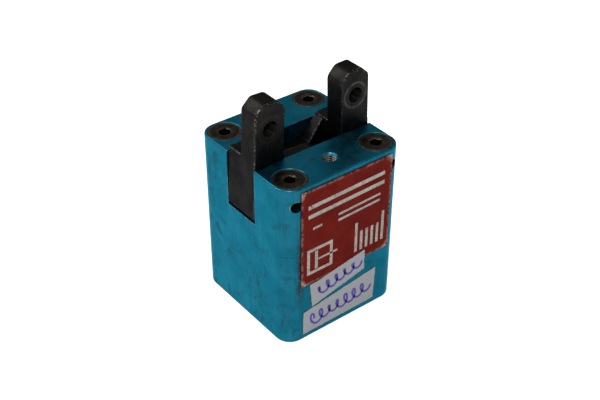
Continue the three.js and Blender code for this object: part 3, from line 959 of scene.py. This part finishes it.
def black_steel(name, side=None, ring_strength=0.0):
    """Black oxide, worn at the edges. A jaw also has the ring that a screw head left round its hole, and
    painted shade darkening the inside of the hole.
    """
    f = Finish(name, metallic=1.0, edge_tint=(0.5, 0.5, 0.5))
    base = f.mix(f.ramp(f.noise(6, 4), 0.35, 0.65), (0.0105, 0.0105, 0.0105), (0.017, 0.0165, 0.016))
    upper = f.ramp(f.axis("Z"), 0.064, 0.09)
    rusty = f.math("MULTIPLY", upper, f.ramp(f.noise(4, 5), 0.42, 0.66, 0.0, 0.6))
    tinted = f.mix(rusty, base, (0.022, 0.0175, 0.012))
    nicked = f.ramp(f.noise(1.4, 4, 0.6), 0.42, 0.62)
    worn = f.math("MULTIPLY", f.edges(0.9, 0.88, 0.985), nicked)
    scratches = f.ramp(f.noise(0.5, 2, at=f.stretched(1, 1, 0.08)), 0.68, 0.76, 0.0, 0.15)
    shown = f.mix(f.math("MAXIMUM", f.math("MULTIPLY", worn, 0.6), scratches), tinted, (0.12, 0.115, 0.105))
    nicks = f.math("MULTIPLY", f.edges(1.0, 0.93, 0.99), f.ramp(f.noise(0.9, 4, 0.7), 0.54, 0.60))
    if side:
        distance = f.from_line("XZ", *finger_hole(side))
        nicks = f.math("MULTIPLY", nicks, f.ramp(distance, 3.3 * MM, 4.0 * MM))
    higher_up = f.ramp(f.axis("Z"), 0.066, 0.084, 0.25, 0.9)
    shown = f.mix(f.math("MULTIPLY", nicks, higher_up), shown, (0.42, 0.42, 0.40))
    if side:
        away = f.math("ABSOLUTE", f.math("SUBTRACT", distance, SCREW_HEAD_RING * MM))
        front = f.ramp(f.axis("Y"), -0.0068, -0.0072)
        band = f.math("MULTIPLY", f.ramp(away, 0.7 * MM, 0.15 * MM), front)
        patches = f.ramp(f.noise(1.8, 3), 0.35, 0.6, 0.3 * ring_strength, ring_strength)
        patchy = f.math("MULTIPLY", band, patches)
        shown = f.mix(patchy, shown, (0.06, 0.06, 0.058))
        # Painted shade: the inside of the finger's hole is darkened, as a recess in shade.
        hole_painted_shade = f.ramp(distance, (FINGER_MOUTH + 0.15) * MM, (FINGER_MOUTH - 0.05) * MM)
        shown = f.mix(hole_painted_shade, shown, (0.007, 0.0065, 0.006))
    f.colour(shown)
    f.roughness(f.ramp(f.noise(2.5, 5), 0.3, 0.7, 0.38, 0.52))
    f.bump(f.noise(0.3, 4), 0.015)
    return f.material


def bronzed_screw():
    f = Finish("bronzed_screw", metallic=1.0, edge_tint=(0.6, 0.58, 0.55))
    base = f.mix(f.ramp(f.noise(2, 4), 0.35, 0.65), (0.016, 0.013, 0.010), (0.034, 0.027, 0.021))
    worn = f.math("MULTIPLY", f.edges(0.3, 0.9, 0.99), f.ramp(f.noise(0.9, 3), 0.35, 0.6))
    # Painted highlight: a lighter, patchy ring near the edge of each head stands in for light on the head's
    # bevel.
    across = f.math("SUBTRACT", f.math("ABSOLUTE", f.axis("X")), SCREW_AT * MM)
    along = f.math("SUBTRACT", f.math("ABSOLUTE", f.axis("Y")), SCREW_AT * MM)
    squares = f.math("ADD", f.math("MULTIPLY", across, across), f.math("MULTIPLY", along, along))
    away = f.math("ABSOLUTE", f.math("SUBTRACT", f.math("SQRT", squares), 5.35 * MM))
    patches = f.ramp(f.noise(1.6, 4), 0.35, 0.6, 0.15, 0.55)
    rim = f.math("MULTIPLY", f.ramp(away, 0.6 * MM, 0.15 * MM), patches)
    rim_highlighted = f.mix(rim, base, (0.095, 0.085, 0.075))
    f.colour(f.mix(f.math("MULTIPLY", worn, 0.8), rim_highlighted, (0.32, 0.29, 0.26)))
    f.roughness(f.ramp(f.noise(1.2, 5), 0.3, 0.7, 0.3, 0.5))
    f.bump(f.noise(0.3, 3), 0.01)
    return f.material


def bright_steel():
    f = Finish("bright_steel", metallic=1.0)
    turned = f.noise(0.25, 3, at=f.stretched(0.3, 0.3, 1))
    f.colour(f.mix(f.ramp(turned, 0.3, 0.7), (0.55, 0.55, 0.56), (0.66, 0.66, 0.67)))
    f.roughness(f.ramp(f.noise(1.5, 4), 0.3, 0.7, 0.2, 0.34))
    f.bump(turned, 0.004)
    return f.material


def plain_aluminium():
    f = Finish("plain_aluminium", metallic=1.0)
    turned = f.noise(0.4, 4, at=f.stretched(0.3, 0.3, 1.5))
    f.colour(f.mix(f.ramp(turned, 0.3, 0.7), (0.62, 0.63, 0.64), (0.74, 0.75, 0.76)))
    f.roughness(f.ramp(f.noise(2, 4), 0.3, 0.7, 0.3, 0.42))
    f.bump(turned, 0.006)
    return f.material


def bush_bronze():
    f = Finish("bush_bronze", metallic=1.0)
    f.colour(f.mix(f.ramp(f.noise(0.3, 4), 0.4, 0.7), (0.46, 0.31, 0.15), (0.62, 0.45, 0.25)))
    f.roughness(f.ramp(f.noise(1, 4), 0.3, 0.7, 0.35, 0.5))
    f.bump(f.noise(0.25, 3), 0.01)
    return f.material


def seal_rubber():
    f = Finish("seal_rubber", specular=0.35)
    f.colour(f.mix(f.ramp(f.noise(1.5, 4), 0.3, 0.7), (0.012, 0.012, 0.013), (0.03, 0.03, 0.03)))
    f.roughness(f.ramp(f.noise(0.8, 4), 0.3, 0.7, 0.6, 0.8))
    f.bump(f.noise(0.2, 3), 0.01)
    return f.material


def plate_red():
    f = Finish("plate_red", specular=0.02)
    base = f.mix(f.ramp(f.noise(7, 4), 0.35, 0.65), (0.076, 0.0035, 0.0018), (0.100, 0.0055, 0.003))
    dark_mottle = f.ramp(f.noise(1.8, 5, 0.65), 0.56, 0.70)
    dirty = f.mix(f.math("MULTIPLY", dark_mottle, 0.6), base, (0.045, 0.012, 0.010))
    middle_x = (PLATE_LOW.x + PLATE_HIGH.x) / 2 * MM
    middle_z = (PLATE_LOW.z + PLATE_HIGH.z) / 2 * MM
    half = (PLATE_HIGH.x - PLATE_LOW.x) / 2 * MM
    from_x = f.math("ABSOLUTE", f.math("SUBTRACT", f.axis("X"), middle_x))
    from_z = f.math("ABSOLUTE", f.math("SUBTRACT", f.axis("Z"), middle_z))
    rim = f.ramp(f.math("MAXIMUM", from_x, from_z), half - 1.2 * MM, half - 0.2 * MM)
    corner = f.ramp(f.math("ADD", from_x, from_z), 2 * half - 4.5 * MM, 2 * half - 1.2 * MM)
    exposed = f.math("MAXIMUM", f.math("MULTIPLY", rim, 0.35), corner)
    worn = f.math("MULTIPLY", exposed, f.ramp(f.noise(1.3, 4), 0.4, 0.6))
    f.colour(f.mix(f.math("MULTIPLY", worn, 0.85), dirty, (0.30, 0.22, 0.18)))
    f.roughness(f.ramp(f.noise(3, 5), 0.3, 0.7, 0.38, 0.6))
    f.bump(f.noise(0.8, 3), 0.02)
    return f.material


def print_beige():
    f = Finish("print_beige", roughness=0.6, specular=0.06)
    worn = f.ramp(f.noise(0.9, 5, 0.7), 0.56, 0.64)
    print_tone = f.mix(f.ramp(f.noise(3, 3), 0.3, 0.7), (0.22, 0.205, 0.18), (0.29, 0.275, 0.24))
    f.colour(f.mix(worn, print_tone, (0.15, 0.02, 0.015)))
    f.bump(f.noise(0.5, 3), 0.01)
    return f.material


def strip_paper():
    f = Finish("strip_paper", roughness=0.85, specular=0.05)
    fibres = f.noise(0.25, 5, 0.6)
    clean = f.mix(f.ramp(fibres, 0.3, 0.7), (0.205, 0.21, 0.215), (0.25, 0.255, 0.26))
    grubby = f.ramp(f.noise(4, 5), 0.55, 0.75, 0.0, 0.35)
    f.colour(f.mix(grubby, clean, (0.24, 0.24, 0.26)))
    f.bump(fibres, 0.02)
    return f.material


def pen_ink():
    f = Finish("pen_ink", roughness=0.5, specular=0.12)
    f.colour(f.mix(f.ramp(f.noise(0.6, 4), 0.3, 0.7), (0.035, 0.025, 0.16), (0.075, 0.055, 0.27)))
    f.bump(f.noise(0.2, 3), 0.005)
    return f.material


# ------------------------------------------------------------------- putting it together

FINISHES = {
    "teal": teal_anodised(),
    "left jaw": black_steel("black_steel_left", -1, 0.12),
    "right jaw": black_steel("black_steel_right", 1, 0.8),
    "black": black_steel("black_steel"),
    "screw": bronzed_screw(),
    "bright": bright_steel(),
    "aluminium": plain_aluminium(),
    "bronze": bush_bronze(),
    "rubber": seal_rubber(),
    "red": plate_red(),
    "print": print_beige(),
    "paper": strip_paper(),
    "ink": pen_ink(),
}


def fit(piece, body, finish, slot, *nodes):
    """Gives a piece its finish, its body and the CAD nodes that it stands for."""
    piece.data.materials.clear()
    piece.data.materials.append(FINISHES[finish])
    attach(piece, body)
    if nodes:
        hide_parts(*nodes)


def build():
    fit(smooth(jaw_housing()), "housing", "teal", "teal_anodised", "jaw_housing")
    fit(smooth(cylinder_body()), "housing", "teal", "teal_anodised", "cylinder_body")
    fit(smooth(jaw_left()), "left_jaw", "left jaw", "black_steel", "jaw_left")
    fit(smooth(jaw_right()), "right_jaw", "right jaw", "black_steel", "jaw_right")
    fit(smooth(crosshead()), "piston_unit", "black", "black_steel", "crosshead")
    fit(smooth(drive_pin()), "piston_unit", "bright", "ground_steel", "drive_pin")
    fit(smooth(piston_rod()), "piston_unit", "bright", "ground_steel", "piston_rod")
    fit(smooth(piston()), "piston_unit", "aluminium", "plain_aluminium", "piston")
    fit(smooth(piston_seal()), "piston_unit", "rubber", "seal_rubber", "piston_seal")
    fit(smooth(piston_screw()), "piston_unit", "screw", "screw_steel", "piston_screw")
    fit(smooth(cylinder_head()), "housing", "aluminium", "plain_aluminium", "cylinder_head")
    fit(smooth(head_ring()), "housing", "rubber", "seal_rubber", "head_ring")
    rings = [
        ("rod_lip_seal", 5.06, 6.9, 34.25, 36.3, 0.5, "rubber", "seal_rubber", "rod_seal"),
        ("bronze_bush", 5.05, 7, 38.35, 43.3, 0.3, "bronze", "bush_bronze", "rod_bush"),
        ("stop_ring_low", 5, 7.5, 6.05, 7.1, 0.3, "rubber", "seal_rubber", "lower_bumper"),
        ("stop_ring_high", 7.5, 10, 32.1, 34, 0.4, "rubber", "seal_rubber", "upper_bumper"),
    ]
    for name, inner, outer, low, high, radius, finish, slot, node in rings:
        fit(smooth(ring(name, inner, outer, low, high, radius)), "housing", finish, slot, node)
    for corner, (x, y) in CORNERS.items():
        screw = smooth(cap_screw(f"cap_screw_{corner}", x, y))
        fit(screw, "housing", "screw", "screw_steel", f"screw_{corner}")
    for side, sign in (("left", -1), ("right", 1)):
        pin = smooth(pivot_pin(f"hinge_pin_{side}", sign))
        fit(pin, "housing", "bright", "ground_steel", f"pivot_pin_{side}")
        peg = smooth(dowel(f"dowel_pin_{side}", sign))
        fit(peg, "housing", "bright", "ground_steel", f"dowel_{side}")
    fit(name_plate(), "housing", "red", "red_plate", "name_plate")
    fit(paper_strip("paper_upper", UPPER_STRIP, 3), "housing", "paper", "paper", "strip_upper")
    fit(paper_strip("paper_lower", LOWER_STRIP, 8), "housing", "paper", "paper", "strip_lower")
    fit(plate_print(), "housing", "print", None)
    fit(pen_marks("pen_upper", (-11.6, 18.6), (7.2, 22.6), 4.6, 5, 1), "housing", "ink", None)
    fit(pen_marks("pen_lower", (-14.6, 7), (11.8, 9.6), 5.4, 7, 2), "housing", "ink", None)


# ------------------------------------------------------------- camera, floor and lights

def direction(azimuth, elevation):
    """The unit vector from the object towards a viewer at that azimuth and elevation."""
    a, e = math.radians(azimuth), math.radians(elevation)
    return Vector((math.sin(a) * math.cos(e), -math.cos(a) * math.cos(e), math.sin(e)))


CAMERA_AZIMUTH, CAMERA_ELEVATION, CAMERA_ROLL = -38.11, 36.23, 0.22
CAMERA_DISTANCE = 0.37245
CAMERA_TARGET = Vector((0, 0, 33.333 * MM))
LIGHT_TARGET = Vector((0, 0, 0.04))


def camera():
    data = bpy.data.cameras.new("camera")
    data.lens = 62.5
    data.sensor_width = 36
    data.shift_x = 0.0011
    data.shift_y = 0.0189
    data.clip_start = 0.01
    data.clip_end = 20
    cam = bpy.data.objects.new("camera", data)
    bpy.context.scene.collection.objects.link(cam)
    back = direction(CAMERA_AZIMUTH, CAMERA_ELEVATION)
    cam.rotation_mode = "QUATERNION"
    roll = Matrix.Rotation(math.radians(CAMERA_ROLL), 4, back)
    cam.rotation_quaternion = (roll @ (-back).to_track_quat("-Z", "Y").to_matrix().to_4x4()).to_quaternion()
    cam.location = CAMERA_TARGET + back * CAMERA_DISTANCE
    bpy.context.scene.camera = cam


def area_light(name, azimuth, elevation, distance, size, power):
    data = bpy.data.lights.new(name, "AREA")
    data.shape = "DISK"
    data.size = size
    data.energy = power
    lamp = bpy.data.objects.new(name, data)
    bpy.context.scene.collection.objects.link(lamp)
    towards = direction(azimuth, elevation)
    lamp.location = LIGHT_TARGET + towards * distance
    lamp.rotation_mode = "QUATERNION"
    lamp.rotation_quaternion = towards.to_track_quat("Z", "Y")


# The floor is a light table, so that the object's shadow on it stays faint.
FLOOR_GLOW = 0.4
FLOOR_SIZE = 3
FLOOR_GAP = 0.0001


def floor():
    bm = bmesh.new()
    bmesh.ops.create_grid(bm, x_segments=8, y_segments=8, size=FLOOR_SIZE)
    bmesh.ops.translate(bm, verts=bm.verts, vec=(0, 0, BODY_LOW.z * MM - FLOOR_GAP))
    piece = from_bmesh("floor", bm)
    f = Finish("floor_paper", roughness=0.9, specular=0.2)
    f.colour(f.mix(f.ramp(f.noise(60, 3), 0.3, 0.7), (0.87, 0.87, 0.87), (0.89, 0.89, 0.89)))
    f.shader.inputs["Emission Color"].default_value = (1, 1, 1, 1)
    f.shader.inputs["Emission Strength"].default_value = FLOOR_GLOW
    piece.data.materials.append(f.material)


def studio():
    world = bpy.data.worlds.new("studio")
    bpy.context.scene.world = world
    world.use_nodes = True
    background = world.node_tree.nodes["Background"]
    background.inputs["Color"].default_value = (0.85, 0.88, 0.92, 1)
    background.inputs["Strength"].default_value = 0.66
    area_light("key", -128, 46, 1.0, 0.7, 6.4)
    area_light("flash", -40, 50, 0.9, 0.1, 4.9)
    bpy.context.scene.view_settings.view_transform = "Standard"


camera()
build()
floor()
studio()
